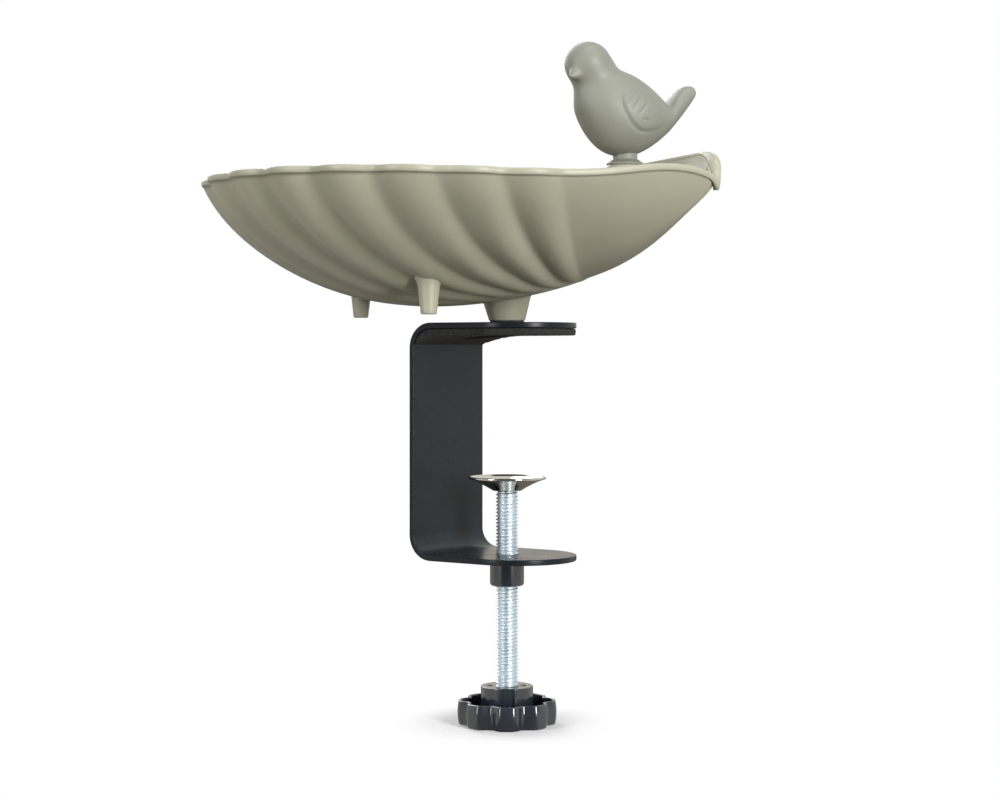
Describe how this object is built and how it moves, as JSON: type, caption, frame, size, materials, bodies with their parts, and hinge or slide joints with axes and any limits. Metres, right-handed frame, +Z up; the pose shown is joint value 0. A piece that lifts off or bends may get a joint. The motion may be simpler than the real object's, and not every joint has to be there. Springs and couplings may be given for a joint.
{
  "type": "balcony bird bath",
  "caption": "Scallop-shell bird bath dish with a perching bird figure, bolted to a C-shaped screw clamp with foam pad, swivel disc and star knob that grips a balcony rail.",
  "frame": {"origin": "on the clamp screw axis, at the face of the foam pad that rests on top of the rail", "axes": "+Z up along the clamp screw, +X out of the mouth of the clamp, +Y to the left of someone looking out along +X"},
  "size_m": [0.1874, 0.1835, 0.2425],
  "materials": {
    "dish_paint": "satin sage paint on cast metal",
    "bird_paint": "satin sage paint on cast metal",
    "zinc_steel": "bright zinc plating",
    "fibre": "matte black",
    "bracket_paint": "satin charcoal paint",
    "foam": "matte cut foam",
    "bush_black": "gloss black paint",
    "nickel": "bright nickel plating",
    "knob_plastic": "satin charcoal moulding"
  },
  "bodies": {
    "clamp": {"clamp_bracket": "bracket_paint", "clamp_pad": "foam", "screw_bush": "bush_black"},
    "dish": {"shell_dish": "dish_paint", "bird_figure": "bird_paint", "bird_fixing_stud": "zinc_steel", "dish_fixing_screw": "zinc_steel", "dish_screw_washer": "zinc_steel", "dish_seat_washer": "fibre"},
    "disc": {"swivel_disc": "nickel"},
    "screw": {"clamp_screw": "zinc_steel", "star_knob": "knob_plastic"}
  },
  "joints": [
    {"name": "dish_swivel", "type": "hinge", "parent": "clamp", "child": "dish", "pos_m": [0, 0, 0.0052], "axis": [0, 0, 1], "continuous": true},
    {"name": "jaw_slide", "type": "slide", "parent": "clamp", "child": "disc", "axis": [0, 0, 1], "range_m": [-0.022, 0.035]},
    {"name": "screw_turn", "type": "hinge", "parent": "disc", "child": "screw", "pos_m": [0, 0, -0.0547], "axis": [0, 0, 1], "range_deg": [-6365, 10109]}
  ],
  "couplings": [
    {"joint": "screw_turn", "follows": "jaw_slide", "rad_per_m": 5026.5}
  ]
}
